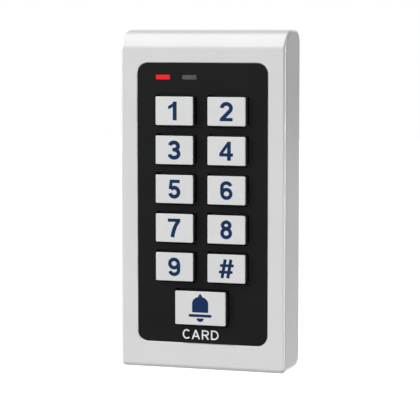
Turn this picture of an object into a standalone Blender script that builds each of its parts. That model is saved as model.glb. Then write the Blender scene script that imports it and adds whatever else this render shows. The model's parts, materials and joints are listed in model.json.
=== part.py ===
"""Wall-mounted keypad card reader: cast housing, black keypad panel, eleven sprung keys.

The wall is the plane y = 0 and the reader's front faces -Y. The origin is on the wall plate's
back face, at the middle of the housing's width and height. Depths are measured back from the
housing's front face, so a depth of HOUSING_DEPTH is the wall.
"""

import math

import bmesh
import bpy
from mathutils import Matrix

MM = 0.001

# Housing
HOUSING_WIDTH = 76.3 * MM
HOUSING_HEIGHT = 150.0 * MM
HOUSING_DEPTH = 22.3 * MM
CROWN_DEPTH = 12.2 * MM
CROWN_DROP = 8.8 * MM
REAR_TOP_RADIUS = 4.0 * MM
REAR_BOTTOM_DEPTH = 4.6 * MM
REAR_BOTTOM_DROP = 3.0 * MM
CHIN_DEPTH = 1.4 * MM
CHIN_DROP = 2.0 * MM
EDGE_RADIUS = 1.0 * MM
FRONT_WALL = 2.0 * MM
CAVITY_HALF_WIDTH = 35.0 * MM
CAVITY_TOP = 67.5 * MM
CAVITY_BOTTOM = -67.6 * MM
LEDGE_DEPTH = 15.0 * MM
POCKET_HALF_WIDTH = 36.55 * MM
POCKET_TOP = 70.3 * MM
POCKET_BOTTOM = -69.2 * MM
POCKET_RADIUS = 2.5 * MM
COVER_BOSS_RADIUS = 2.8 * MM
COVER_BOSS_HOLE_FRONT = 7.5 * MM
COVER_BOSSES = [(-32.3 * MM, 65.2 * MM), (32.3 * MM, 65.2 * MM),
                (-32.3 * MM, -66.0 * MM), (32.3 * MM, -66.0 * MM)]

# Clearances
GAP = 0.3 * MM
OVERLAP = 0.5 * MM
THROUGH = 2.0 * MM

# Keypad panel
WINDOW_WIDTH = 60.2 * MM
WINDOW_HEIGHT = 123.9 * MM
WINDOW_RADIUS = 4.8 * MM
WINDOW_Z = -1.4 * MM
PANEL_FRONT = 0.4 * MM
PANEL_LIP = 1.5 * MM
LIP_FRONT = 3.2 * MM
PANEL_BACK = 4.4 * MM
PANEL_BOSS_RADIUS = 2.0 * MM
PANEL_BOSSES = [(-29.2 * MM, 45.0 * MM), (29.2 * MM, 45.0 * MM),
                (-29.2 * MM, -50.0 * MM), (29.2 * MM, -50.0 * MM)]

# Keys
KEY_WIDTH = 17.3 * MM
KEY_HEIGHT = 12.6 * MM
BELL_KEY_WIDTH = 23.3 * MM
BELL_KEY_HEIGHT = 15.0 * MM
KEY_COLUMN = 12.0 * MM
KEY_PITCH = 17.2 * MM
TOP_ROW_Z = 39.5 * MM
BELL_KEY_Z = -47.3 * MM
KEY_PROUD = 2.5 * MM
KEY_CLEARANCE = 0.8 * MM
KEY_FLANGE = 1.2 * MM
KEY_FLANGE_THICKNESS = 0.8 * MM
KEY_EDGE = 0.4 * MM
KEY_STEM_RADIUS = 1.3 * MM
KEY_STEM_END = 7.3 * MM
KEY_NAMES = [("key_1", "key_2"), ("key_3", "key_4"), ("key_5", "key_6"),
             ("key_7", "key_8"), ("key_9", "key_hash")]

# Switches, circuit board and aerial
SWITCH_SIZE = 6.0 * MM
SWITCH_FRONT = 6.6 * MM
SWITCH_BACK = 8.9 * MM
SWITCH_BORE_RADIUS = 1.6 * MM
SWITCH_BORE_END = 8.4 * MM
BOARD_WIDTH = 66.0 * MM
BOARD_HEIGHT = 125.6 * MM
BOARD_RADIUS = 6.0 * MM
BOARD_FRONT = 9.2 * MM
BOARD_BACK = 10.8 * MM
COIL_WIDTH = 53.6 * MM
COIL_HEIGHT = 119.6 * MM
COIL_BAND = 2.4 * MM
COIL_RADIUS = 6.0 * MM
COIL_FRONT = 6.6 * MM

# Indicator windows
LENS_WIDTH = 6.6 * MM
LENS_HEIGHT = 2.1 * MM
LENS_Z = 54.2 * MM
LENS_FRONT = 0.45 * MM
LENS_BACK = 7.3 * MM
LENS_COLLAR = 0.8 * MM
LENSES = [("lens_red", -18.2 * MM), ("lens_grey", -5.9 * MM)]
LED_SIZE = (3.5 * MM, 1.2 * MM, 2.8 * MM)

# Back cover, wall plate and fixings
COVER_WIDTH = 72.4 * MM
COVER_TOP = 70.0 * MM
COVER_BOTTOM = -68.9 * MM
COVER_FRONT = 16.2 * MM
COVER_BACK = 18.2 * MM
COVER_SEAL_THICKNESS = 0.6 * MM
CABLE_Z = -28.0 * MM
CABLE_HOLE_RADIUS = 6.0 * MM
GROMMET_BORE_RADIUS = 3.2 * MM
GROMMET_FLANGE_RADIUS = 7.4 * MM
GROMMET_FLANGE_THICKNESS = 0.7 * MM
TAMPER_X = 18.0 * MM
TAMPER_Z = -8.0 * MM
TAMPER_HOLE_RADIUS = 2.5 * MM
PLATE_WIDTH = 71.8 * MM
PLATE_TOP = 69.8 * MM
PLATE_BOTTOM = -68.6 * MM
PLATE_FRONT = 20.8 * MM
PLATE_THICKNESS = HOUSING_DEPTH - PLATE_FRONT
PLATE_CABLE_RADIUS = 8.0 * MM
PLATE_SLOT_WIDTH = 4.2 * MM
PLATE_SLOT_LENGTH = 9.0 * MM
PLATE_SLOTS = [(-22.0 * MM, 50.0 * MM), (22.0 * MM, 50.0 * MM),
               (-22.0 * MM, -50.0 * MM), (22.0 * MM, -50.0 * MM)]
LUG_FRONT = 18.5 * MM
LUG_WIDTH = 12.0 * MM
HOOK_X = 18.0 * MM
HOOK_WIDTH = 8.0 * MM
HOOK_TIP = 70.9 * MM
LOCK_SCREW_DEPTH = 20.2 * MM
LOCK_SCREW_SEAT = -70.4 * MM
LOCK_HOLE_RADIUS = 1.3 * MM
LOCK_SEAT_RADIUS = 2.2 * MM
COVER_SCREW_RADIUS = 1.25 * MM
BOARD_SCREW_RADIUS = 1.0 * MM

# Screws: head radius, head height, shank radius and shank length
COVER_SCREW = (2.6 * MM, 1.6 * MM, COVER_SCREW_RADIUS, 10.0 * MM)
BOARD_SCREW = (2.0 * MM, 1.4 * MM, BOARD_SCREW_RADIUS, 6.0 * MM)
LOCK_SCREW = (1.8 * MM, 1.3 * MM, 1.0 * MM, 3.8 * MM)
SCREW_RECESS_WIDTH = 0.5 * MM

# Components on the board: name, material, width, height, thickness, x and z
CHIPS = [("microcontroller", "chip_black", 10 * MM, 10 * MM, 1.4 * MM, -10 * MM, 8 * MM),
         ("reader_chip", "chip_black", 12.8 * MM, 7.5 * MM, 2.3 * MM, 12 * MM, 14 * MM),
         ("regulator", "chip_black", 6.5 * MM, 6.1 * MM, 2.3 * MM, -20 * MM, -34 * MM),
         ("crystal", "can_metal", 11 * MM, 4.6 * MM, 3.5 * MM, -10 * MM, -8 * MM)]
CRYSTAL_EDGE = 0.9 * MM
CAN_HEIGHT = 3.9 * MM
CAPACITOR_RADIUS = 3.15 * MM
CAPACITOR_PLACE = (21 * MM, -32 * MM)
BUZZER_RADIUS = 6.0 * MM
BUZZER_PLACE = (16 * MM, 40 * MM)
BUZZER_PORT_RADIUS = 1.2 * MM
BUZZER_PORT_DEPTH = 1.4 * MM
SENSOR_RADIUS = 1.5 * MM
SENSOR_BASE = 1.2 * MM
SENSOR_DOME = 1.3 * MM
HEADER_SIZE = (22 * MM, 5.8 * MM, 3.9 * MM)
HEADER_Z = -46 * MM
HEADER_WALL = 1.0 * MM
PIN_COUNT = 8
PIN_PITCH = 2.3 * MM
PIN_WIDTH = 0.64 * MM
PIN_LENGTH = 2.8 * MM

COLOURS = {
    "silver_paint": ((0.66, 0.67, 0.67), 0.38, 0.35),
    "panel_black": ((0.014, 0.015, 0.015), 0.42, 0.0),
    "key_silver": ((0.68, 0.69, 0.68), 0.36, 0.3),
    "lens_red": ((0.82, 0.04, 0.05), 0.25, 0.0),
    "lens_grey": ((0.09, 0.095, 0.095), 0.3, 0.0),
    "led_white": ((0.8, 0.78, 0.7), 0.4, 0.0),
    "seal_rubber": ((0.03, 0.03, 0.03), 0.8, 0.0),
    "board_green": ((0.02, 0.16, 0.06), 0.45, 0.0),
    "copper_wire": ((0.72, 0.33, 0.12), 0.35, 0.9),
    "chip_black": ((0.03, 0.03, 0.032), 0.5, 0.0),
    "can_metal": ((0.6, 0.6, 0.6), 0.3, 1.0),
    "header_white": ((0.75, 0.73, 0.66), 0.5, 0.0),
    "sensor_clear": ((0.8, 0.84, 0.86), 0.1, 0.0),
    "cover_grey": ((0.1, 0.1, 0.105), 0.55, 0.0),
    "plate_zinc": ((0.55, 0.57, 0.58), 0.4, 0.9),
    "screw_steel": ((0.5, 0.5, 0.5), 0.3, 1.0),
}


def clear_scene():
    for item in list(bpy.data.objects):
        bpy.data.objects.remove(item, do_unlink=True)


def make_collection(name):
    collection = bpy.data.collections.new(name)
    bpy.context.scene.collection.children.link(collection)
    return collection


def make_material(name):
    colour, roughness, metallic = COLOURS[name]
    made = bpy.data.materials.new(name)
    made.use_nodes = True
    shader = made.node_tree.nodes["Principled BSDF"]
    shader.inputs["Base Color"].default_value = (*colour, 1.0)
    shader.inputs["Roughness"].default_value = roughness
    shader.inputs["Metallic"].default_value = metallic
    made.diffuse_color = (*colour, 1.0)
    return made


clear_scene()
PARTS = make_collection("card_reader")
CUTTERS = make_collection("cutters")
MATERIALS = {name: make_material(name) for name in COLOURS}


def at(x, depth, z):
    """A place in the reader: depth is counted back from the housing's front face."""
    return (x, depth - HOUSING_DEPTH, z)


def add(name, mesh, look, location):
    """Link a mesh as a part, or as a cutter when it has no look."""
    made = bpy.data.objects.new(name, mesh)
    made.location = location
    if look is None:
        CUTTERS.objects.link(made)
        made.hide_render = True
        made.display_type = "WIRE"
    else:
        PARTS.objects.link(made)
        mesh.materials.append(MATERIALS[look])
    return made


def box(name, look, size, location):
    mesh = bpy.data.meshes.new(name)
    shape = bmesh.new()
    bmesh.ops.create_cube(shape, size=1.0)
    bmesh.ops.scale(shape, vec=size, verts=shape.verts)
    shape.to_mesh(mesh)
    shape.free()
    return add(name, mesh, look, location)


def block(name, look, width, height, front, back, x, z):
    """A box from one depth to another, centred on x and z."""
    return box(name, look, (width, back - front, height), at(x, (front + back) / 2, z))


def rod(name, look, radius, front, back, x, z, segments=32):
    """A cylinder whose axis runs front to back."""
    mesh = bpy.data.meshes.new(name)
    shape = bmesh.new()
    bmesh.ops.create_cone(shape, cap_ends=True, segments=segments, radius1=radius,
                          radius2=radius, depth=back - front,
                          matrix=Matrix.Rotation(math.pi / 2, 4, "X"))
    shape.to_mesh(mesh)
    shape.free()
    mesh.shade_smooth()
    mesh.set_sharp_from_angle(angle=math.radians(40))
    return add(name, mesh, look, at(x, (front + back) / 2, z))


def arc(centre_x, centre_y, radius_x, radius_y, start, end, steps):
    """Points of an elliptical arc between two angles in degrees."""
    points = []
    for step in range(steps + 1):
        angle = math.radians(start + (end - start) * step / steps)
        points.append((centre_x + radius_x * math.cos(angle),
                       centre_y + radius_y * math.sin(angle)))
    return points


def rounded_rectangle(width, height, radius, steps=6):
    across = width / 2 - radius
    up = height / 2 - radius
    outline = []
    for turn, (side_x, side_y) in enumerate([(1, 1), (-1, 1), (-1, -1), (1, -1)]):
        outline += arc(side_x * across, side_y * up, radius, radius,
                       90 * turn, 90 * turn + 90, steps)
    return outline


def outline_mesh(name, outlines, thickness, turn):
    """A flat outline, with any inner outlines as holes, given a thickness and turned into place."""
    curve = bpy.data.curves.new(name, "CURVE")
    curve.dimensions = "2D"
    curve.fill_mode = "BOTH"
    curve.extrude = thickness / 2
    for outline in outlines:
        spline = curve.splines.new("POLY")
        spline.points.add(len(outline) - 1)
        for point, (across, up) in zip(spline.points, outline):
            point.co = (across, up, 0.0, 1.0)
        spline.use_cyclic_u = True
    drawn = bpy.data.objects.new(name, curve)
    bpy.context.scene.collection.objects.link(drawn)
    graph = bpy.context.evaluated_depsgraph_get()
    mesh = bpy.data.meshes.new_from_object(drawn.evaluated_get(graph))
    bpy.data.objects.remove(drawn)
    shape = bmesh.new()
    shape.from_mesh(mesh)
    bmesh.ops.remove_doubles(shape, verts=shape.verts, dist=0.00001)
    bmesh.ops.recalc_face_normals(shape, faces=shape.faces)
    shape.to_mesh(mesh)
    shape.free()
    mesh.materials.clear()
    mesh.transform(turn)
    return mesh


def plate(name, look, outlines, front, back, x, z):
    """A flat solid whose outlines are seen from the front."""
    upright = Matrix.Rotation(math.pi / 2, 4, "X")
    mesh = outline_mesh(name, outlines, back - front, upright)
    return add(name, mesh, look, at(x, (front + back) / 2, z))


def ring(name, look, outer, inner, front, back, z):
    """A rectangular ring; outer and inner are (width, height, corner radius)."""
    outlines = [rounded_rectangle(*outer), rounded_rectangle(*inner)]
    return plate(name, look, outlines, front, back, 0.0, z)


def turned(name, look, profile, closed, location, rotation, steps=24):
    """A turned solid: (radius, height) points swept about the object's own Z axis."""
    mesh = bpy.data.meshes.new(name)
    edges = [(index, index + 1) for index in range(len(profile) - 1)]
    if closed:
        edges.append((len(profile) - 1, 0))
    mesh.from_pydata([(radius, 0.0, height) for radius, height in profile], edges, [])
    made = add(name, mesh, look, location)
    made.rotation_euler = rotation
    screw = made.modifiers.new("turn", "SCREW")
    screw.axis = "Z"
    screw.steps = steps
    screw.render_steps = steps
    screw.use_merge_vertices = True
    screw.merge_threshold = 0.00001
    return made


def bevel(target, width, segments, angle=40):
    rounding = target.modifiers.new("edges", "BEVEL")
    rounding.width = width
    rounding.segments = segments
    rounding.limit_method = "ANGLE"
    rounding.angle_limit = math.radians(angle)


def boolean(target, tool, operation):
    modifier = target.modifiers.new(tool.name, "BOOLEAN")
    modifier.operation = operation
    modifier.solver = "EXACT"
    modifier.object = tool


def cut(target, tool):
    boolean(target, tool, "DIFFERENCE")


def join(target, tool):
    boolean(target, tool, "UNION")


def housing_profile():
    """The housing's side outline as (y, z) points, from the chin over the crown to the wall."""
    front = -HOUSING_DEPTH
    top = HOUSING_HEIGHT / 2
    chin = arc(front + CHIN_DEPTH, -top + CHIN_DROP, CHIN_DEPTH, CHIN_DROP, 270, 180, 4)
    crown = arc(front + CROWN_DEPTH, top - CROWN_DROP, CROWN_DEPTH, CROWN_DROP, 180, 90, 10)
    rear_top = arc(-GAP - REAR_TOP_RADIUS, top - REAR_TOP_RADIUS,
                   REAR_TOP_RADIUS, REAR_TOP_RADIUS, 90, 0, 6)
    rear_bottom = arc(-GAP - REAR_BOTTOM_DEPTH, -top + REAR_BOTTOM_DROP,
                      REAR_BOTTOM_DEPTH, REAR_BOTTOM_DROP, 0, -90, 8)
    return chin + crown + rear_top + rear_bottom


def make_housing_shell():
    """The outer casting: the side outline drawn across the width, with rounded edges."""
    sideways = Matrix(((0, 0, 1, 0), (1, 0, 0, 0), (0, 1, 0, 0), (0, 0, 0, 1)))
    mesh = outline_mesh("front_housing", [housing_profile()], HOUSING_WIDTH, sideways)
    housing = add("front_housing", mesh, "silver_paint", (0, 0, 0))
    bevel(housing, EDGE_RADIUS, 3)
    return housing


def make_housing():
    housing = make_housing_shell()
    cavity_height = CAVITY_TOP - CAVITY_BOTTOM
    cut(housing, plate("housing_cavity", None,
                       [rounded_rectangle(2 * CAVITY_HALF_WIDTH, cavity_height, POCKET_RADIUS)],
                       FRONT_WALL, LEDGE_DEPTH + OVERLAP, 0.0, (CAVITY_TOP + CAVITY_BOTTOM) / 2))
    pocket_height = POCKET_TOP - POCKET_BOTTOM
    cut(housing, plate("housing_pocket", None,
                       [rounded_rectangle(2 * POCKET_HALF_WIDTH, pocket_height, POCKET_RADIUS)],
                       LEDGE_DEPTH, HOUSING_DEPTH + THROUGH, 0.0,
                       (POCKET_TOP + POCKET_BOTTOM) / 2))
    cut(housing, plate("housing_window", None,
                       [rounded_rectangle(WINDOW_WIDTH, WINDOW_HEIGHT, WINDOW_RADIUS)],
                       -THROUGH, FRONT_WALL + THROUGH, 0.0, WINDOW_Z))
    for number, (x, z) in enumerate(COVER_BOSSES, 1):
        join(housing, rod(f"housing_boss_{number}", None, COVER_BOSS_RADIUS,
                          FRONT_WALL - OVERLAP, LEDGE_DEPTH, x, z, 24))
        cut(housing, rod(f"housing_boss_hole_{number}", None, COVER_SCREW_RADIUS + GAP,
                         COVER_BOSS_HOLE_FRONT, LEDGE_DEPTH + THROUGH, x, z, 16))
    cut_lock_screw_hole(housing)
    cut_hook_recesses(housing)
    return housing


def cut_lock_screw_hole(housing):
    """A counterbored hole up through the housing's underside for the locking screw."""
    bottom = -HOUSING_HEIGHT / 2
    for name, radius, top in [("lock_screw_clearance", LOCK_HOLE_RADIUS, POCKET_BOTTOM + THROUGH),
                              ("lock_screw_seat", LOCK_SEAT_RADIUS, LOCK_SCREW_SEAT)]:
        low = bottom - THROUGH
        hole = rod(name, None, radius, 0.0, top - low, 0.0, 0.0, 24)
        hole.rotation_euler = (math.pi / 2, 0.0, 0.0)
        hole.location = at(0.0, LOCK_SCREW_DEPTH, (top + low) / 2)
        cut(housing, hole)


def cut_hook_recesses(housing):
    """Two slots in the pocket's top wall that drop over the wall plate's hooks."""
    for name, x in [("hook_recess_left", -HOOK_X), ("hook_recess_right", HOOK_X)]:
        low = POCKET_TOP - OVERLAP
        high = HOOK_TIP + 0.5 * MM
        cut(housing, block(name, None, HOOK_WIDTH + 1.0 * MM, high - low,
                           LUG_FRONT - 0.4 * MM, LUG_FRONT + 1.6 * MM, x, (low + high) / 2))


def key_places():
    """Each key's name, centre and size."""
    places = []
    for row, pair in enumerate(KEY_NAMES):
        for name, x in zip(pair, (-KEY_COLUMN, KEY_COLUMN)):
            places.append((name, x, TOP_ROW_Z - row * KEY_PITCH, KEY_WIDTH, KEY_HEIGHT))
    places.append(("key_bell", 0.0, BELL_KEY_Z, BELL_KEY_WIDTH, BELL_KEY_HEIGHT))
    return places


def make_faceplate():
    """The black panel: it fills the window and has a lip and four bosses behind."""
    fit = 0.15 * MM
    panel = plate("faceplate", "panel_black",
                  [rounded_rectangle(WINDOW_WIDTH - 2 * fit, WINDOW_HEIGHT - 2 * fit,
                                     WINDOW_RADIUS - fit)],
                  PANEL_FRONT, PANEL_BACK - 0.4 * MM, 0.0, WINDOW_Z)
    join(panel, plate("faceplate_lip", None,
                      [rounded_rectangle(WINDOW_WIDTH + 2 * PANEL_LIP,
                                         WINDOW_HEIGHT + 2 * PANEL_LIP,
                                         WINDOW_RADIUS + PANEL_LIP)],
                      LIP_FRONT, PANEL_BACK, 0.0, WINDOW_Z))
    for number, (x, z) in enumerate(PANEL_BOSSES, 1):
        join(panel, rod(f"faceplate_boss_{number}", None, PANEL_BOSS_RADIUS,
                        PANEL_BACK - OVERLAP, BOARD_FRONT - GAP, x, z, 20))
        cut(panel, rod(f"faceplate_boss_hole_{number}", None, BOARD_SCREW_RADIUS + GAP,
                       PANEL_BACK, BOARD_FRONT + THROUGH, x, z, 16))
    for name, x, z, width, height in key_places():
        cut(panel, block(f"{name}_opening", None, width + 2 * KEY_CLEARANCE,
                         height + 2 * KEY_CLEARANCE, -THROUGH, PANEL_BACK + THROUGH, x, z))
    for name, x in LENSES:
        cut(panel, block(f"{name}_opening", None, LENS_WIDTH + 2 * GAP, LENS_HEIGHT + 2 * GAP,
                         -THROUGH, PANEL_BACK + THROUGH, x, LENS_Z))
    return panel


def make_window_seal():
    """The foam seal between the housing's front wall and the panel's lip."""
    grow = PANEL_LIP - 0.2 * MM
    ring("window_seal", "seal_rubber",
         (WINDOW_WIDTH + 2 * grow, WINDOW_HEIGHT + 2 * grow, WINDOW_RADIUS + grow),
         (WINDOW_WIDTH + 2 * GAP, WINDOW_HEIGHT + 2 * GAP, WINDOW_RADIUS + GAP),
         FRONT_WALL + GAP, LIP_FRONT - GAP, WINDOW_Z)


def make_key(name, x, z, width, height):
    """A key cap with a retaining flange behind the panel and a stem into its switch."""
    flange_front = PANEL_BACK + GAP
    flange_back = flange_front + KEY_FLANGE_THICKNESS
    key = block(name, "key_silver", width, height, -KEY_PROUD, flange_front + OVERLAP, x, z)
    bevel(key, KEY_EDGE, 2)
    join(key, block(f"{name}_flange", None, width + 2 * KEY_FLANGE, height + 2 * KEY_FLANGE,
                    flange_front, flange_back, x, z))
    join(key, rod(f"{name}_stem", None, KEY_STEM_RADIUS, flange_back - OVERLAP,
                  KEY_STEM_END, x, z, 20))


def make_switch(name, x, z):
    """A push switch whose bore takes the key's stem."""
    switch = block(name, "chip_black", SWITCH_SIZE, SWITCH_SIZE, SWITCH_FRONT, SWITCH_BACK, x, z)
    cut(switch, rod(f"{name}_bore", None, SWITCH_BORE_RADIUS, SWITCH_FRONT - THROUGH,
                    SWITCH_BORE_END, x, z, 20))


def make_keypad():
    for name, x, z, width, height in key_places():
        make_key(name, x, z, width, height)
        make_switch(name.replace("key", "switch"), x, z)


def make_indicators():
    """Two light guides that end in the panel's windows, each with a lamp behind it."""
    for name, x in LENSES:
        lens = block(name, name, LENS_WIDTH, LENS_HEIGHT, LENS_FRONT, LENS_BACK, x, LENS_Z)
        join(lens, block(f"{name}_collar", None, LENS_WIDTH + 2 * LENS_COLLAR,
                         LENS_HEIGHT + 2 * LENS_COLLAR, PANEL_BACK + GAP,
                         PANEL_BACK + GAP + LENS_COLLAR, x, LENS_Z))
        box(name.replace("lens", "led"), "led_white", LED_SIZE,
            at(x, BOARD_FRONT - GAP - LED_SIZE[1] / 2, LENS_Z))


def make_board():
    board = plate("main_board", "board_green",
                  [rounded_rectangle(BOARD_WIDTH, BOARD_HEIGHT, BOARD_RADIUS)],
                  BOARD_FRONT, BOARD_BACK, 0.0, WINDOW_Z)
    for number, (x, z) in enumerate(PANEL_BOSSES, 1):
        cut(board, rod(f"board_hole_{number}", None, BOARD_SCREW_RADIUS + GAP,
                       BOARD_FRONT - THROUGH, BOARD_BACK + THROUGH, x, z, 16))


def make_aerial():
    """The flat wound coil that reads a card, round the outside of the keys."""
    ring("aerial_coil", "copper_wire", (COIL_WIDTH, COIL_HEIGHT, COIL_RADIUS),
         (COIL_WIDTH - 2 * COIL_BAND, COIL_HEIGHT - 2 * COIL_BAND, COIL_RADIUS - COIL_BAND),
         COIL_FRONT, BOARD_FRONT - GAP, WINDOW_Z)


def make_components():
    """The chips, crystal, capacitor, buzzer and light sensor on the back of the board."""
    front = BOARD_BACK + GAP
    for name, look, width, height, thickness, x, z in CHIPS:
        chip = block(name, look, width, height, front, front + thickness, x, z)
        if name == "crystal":
            bevel(chip, CRYSTAL_EDGE, 3)
    rod("capacitor", "can_metal", CAPACITOR_RADIUS, front, front + CAN_HEIGHT, *CAPACITOR_PLACE, 28)
    buzzer = rod("buzzer", "chip_black", BUZZER_RADIUS, front, front + CAN_HEIGHT,
                 *BUZZER_PLACE, 36)
    port_front = front + CAN_HEIGHT - BUZZER_PORT_DEPTH
    cut(buzzer, rod("buzzer_port", None, BUZZER_PORT_RADIUS, port_front,
                    front + CAN_HEIGHT + THROUGH, *BUZZER_PLACE, 16))
    dome = arc(0.0, SENSOR_BASE, SENSOR_RADIUS, SENSOR_DOME, 90, 0, 4)
    turned("tamper_sensor", "sensor_clear", dome + [(SENSOR_RADIUS, 0.0), (0.0, 0.0)], False,
           at(TAMPER_X, front, TAMPER_Z), (-math.pi / 2, 0.0, 0.0))


def make_wire_header():
    """The plug-in header for the installer's cable, open towards the back, with its pins."""
    width, height, thickness = HEADER_SIZE
    front = BOARD_BACK + GAP
    floor = front + HEADER_WALL
    header = block("wire_header", "header_white", width, height, front, front + thickness,
                   0.0, HEADER_Z)
    cut(header, block("header_socket", None, width - 2 * HEADER_WALL, height - 2 * HEADER_WALL,
                      floor, front + thickness + THROUGH, 0.0, HEADER_Z))
    for pin in range(PIN_COUNT):
        x = (pin - (PIN_COUNT - 1) / 2) * PIN_PITCH
        pin_front = floor - 0.4 * MM
        join(header, block(f"header_pin_{pin + 1}", None, PIN_WIDTH, PIN_WIDTH,
                           pin_front, pin_front + PIN_LENGTH, x, HEADER_Z))


def make_cover():
    height = COVER_TOP - COVER_BOTTOM
    middle = (COVER_TOP + COVER_BOTTOM) / 2
    cover = plate("back_cover", "cover_grey", [rounded_rectangle(COVER_WIDTH, height, 2.2 * MM)],
                  COVER_FRONT, COVER_BACK, 0.0, middle)
    for number, (x, z) in enumerate(COVER_BOSSES, 1):
        cut(cover, rod(f"cover_hole_{number}", None, COVER_SCREW_RADIUS + GAP,
                       COVER_FRONT - THROUGH, COVER_BACK + THROUGH, x, z, 16))
    cut(cover, rod("cover_cable_hole", None, CABLE_HOLE_RADIUS, COVER_FRONT - THROUGH,
                   COVER_BACK + THROUGH, 0.0, CABLE_Z, 32))
    cut(cover, rod("cover_tamper_hole", None, TAMPER_HOLE_RADIUS, COVER_FRONT - THROUGH,
                   COVER_BACK + THROUGH, TAMPER_X, TAMPER_Z, 20))
    edge = 1.0 * MM
    top_edge = 1.4 * MM
    inner_top = COVER_TOP - top_edge
    inner_bottom = COVER_BOTTOM + edge
    shift = (inner_top + inner_bottom) / 2 - middle
    inner = [(across, up + shift) for across, up in
             rounded_rectangle(COVER_WIDTH - 2 * edge, inner_top - inner_bottom, 1.2 * MM)]
    seal_back = COVER_FRONT - GAP
    plate("cover_seal", "seal_rubber", [rounded_rectangle(COVER_WIDTH, height, 2.2 * MM), inner],
          seal_back - COVER_SEAL_THICKNESS, seal_back, 0.0, middle)


def make_grommet():
    """A rubber grommet, grooved to sit in the cover's cable hole."""
    waist = CABLE_HOLE_RADIUS - GAP
    half_groove = (COVER_BACK - COVER_FRONT) / 2 + GAP
    half_length = half_groove + GROMMET_FLANGE_THICKNESS
    profile = [(GROMMET_BORE_RADIUS, half_length), (GROMMET_FLANGE_RADIUS, half_length),
               (GROMMET_FLANGE_RADIUS, half_groove), (waist, half_groove),
               (waist, -half_groove), (GROMMET_FLANGE_RADIUS, -half_groove),
               (GROMMET_FLANGE_RADIUS, -half_length), (GROMMET_BORE_RADIUS, -half_length)]
    turned("cable_grommet", "seal_rubber", profile, True,
           at(0.0, (COVER_FRONT + COVER_BACK) / 2, CABLE_Z), (-math.pi / 2, 0.0, 0.0))


def make_tamper_window():
    """A clear plug in the cover, so that the light sensor sees when the reader leaves the wall."""
    plug = TAMPER_HOLE_RADIUS - GAP
    flange = plug + 1.2 * MM
    flange_back = COVER_FRONT - GAP
    flange_front = flange_back - 0.6 * MM
    length = COVER_BACK - 0.2 * MM - flange_front
    profile = [(0.0, length), (plug, length), (plug, flange_back - flange_front),
               (flange, flange_back - flange_front), (flange, 0.0), (0.0, 0.0)]
    turned("tamper_window", "sensor_clear", profile, False,
           at(TAMPER_X, flange_front, TAMPER_Z), (-math.pi / 2, 0.0, 0.0))


def make_screw(name, sizes, location, rotation):
    """A pan-head screw with a cross recess; its origin is under the head, its head at +Z."""
    head_radius, head_height, shank_radius, length = sizes
    dome = arc(0.0, head_height * 0.45, head_radius, head_height * 0.55, 90, 0, 3)
    tip = shank_radius * 0.6
    profile = dome + [(head_radius, 0.0), (shank_radius, 0.0), (shank_radius, tip - length),
                      (shank_radius - tip, -length), (0.0, -length)]
    screw = turned(name, "screw_steel", profile, False, location, rotation, 16)
    slot = head_radius * 1.1
    depth = head_height * 0.6
    width = SCREW_RECESS_WIDTH
    for label, size in [("across", (slot, width, depth)), ("along", (width, slot, depth))]:
        tool = box(f"{name}_recess_{label}", None, size, (0.0, 0.0, head_height))
        tool.parent = screw
        cut(screw, tool)


def make_screws():
    facing_wall = (-math.pi / 2, 0.0, 0.0)
    for number, (x, z) in enumerate(COVER_BOSSES, 1):
        make_screw(f"cover_screw_{number}", COVER_SCREW, at(x, COVER_BACK + GAP, z), facing_wall)
    for number, (x, z) in enumerate(PANEL_BOSSES, 1):
        make_screw(f"board_screw_{number}", BOARD_SCREW, at(x, BOARD_BACK + GAP, z), facing_wall)
    make_screw("lock_screw", LOCK_SCREW, at(0.0, LOCK_SCREW_DEPTH, LOCK_SCREW_SEAT - GAP),
               (math.pi, 0.0, 0.0))


def slot_outline(width, length):
    """A slot with round ends that runs up and down."""
    reach = (length - width) / 2
    return (arc(0.0, reach, width / 2, width / 2, 0, 180, 8)
            + arc(0.0, -reach, width / 2, width / 2, 180, 360, 8))


def make_wall_plate():
    """The folded steel plate: hooks at the top, a lug for the locking screw at the bottom."""
    height = PLATE_TOP - PLATE_BOTTOM
    base = plate("wall_plate", "plate_zinc", [rounded_rectangle(PLATE_WIDTH, height, 2.0 * MM)],
                 PLATE_FRONT, HOUSING_DEPTH, 0.0, (PLATE_TOP + PLATE_BOTTOM) / 2)
    fold_back = PLATE_FRONT + OVERLAP
    join(base, block("plate_lug", None, LUG_WIDTH, PLATE_THICKNESS, LUG_FRONT, fold_back,
                     0.0, PLATE_BOTTOM + PLATE_THICKNESS / 2 + 0.01 * MM))
    for side, x in [("left", -HOOK_X), ("right", HOOK_X)]:
        arm_top = PLATE_TOP - 0.01 * MM
        join(base, block(f"plate_arm_{side}", None, HOOK_WIDTH, PLATE_THICKNESS,
                         LUG_FRONT + 0.2 * MM, fold_back, x, arm_top - PLATE_THICKNESS / 2))
        tip_low = arm_top - 1.2 * MM
        join(base, block(f"plate_hook_{side}", None, HOOK_WIDTH - 0.02 * MM, HOOK_TIP - tip_low,
                         LUG_FRONT, LUG_FRONT + 1.2 * MM, x, (HOOK_TIP + tip_low) / 2))
    lug_hole = rod("lug_hole", None, LOCK_HOLE_RADIUS, 0.0, 3 * PLATE_THICKNESS, 0.0, 0.0, 24)
    lug_hole.rotation_euler = (math.pi / 2, 0.0, 0.0)
    lug_hole.location = at(0.0, LOCK_SCREW_DEPTH, PLATE_BOTTOM)
    cut(base, lug_hole)
    cut(base, rod("plate_cable_hole", None, PLATE_CABLE_RADIUS, PLATE_FRONT - THROUGH,
                  HOUSING_DEPTH + THROUGH, 0.0, CABLE_Z, 40))
    for number, (x, z) in enumerate(PLATE_SLOTS, 1):
        cut(base, plate(f"plate_slot_{number}", None,
                        [slot_outline(PLATE_SLOT_WIDTH, PLATE_SLOT_LENGTH)],
                        PLATE_FRONT - THROUGH, HOUSING_DEPTH + THROUGH, x, z))


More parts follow.
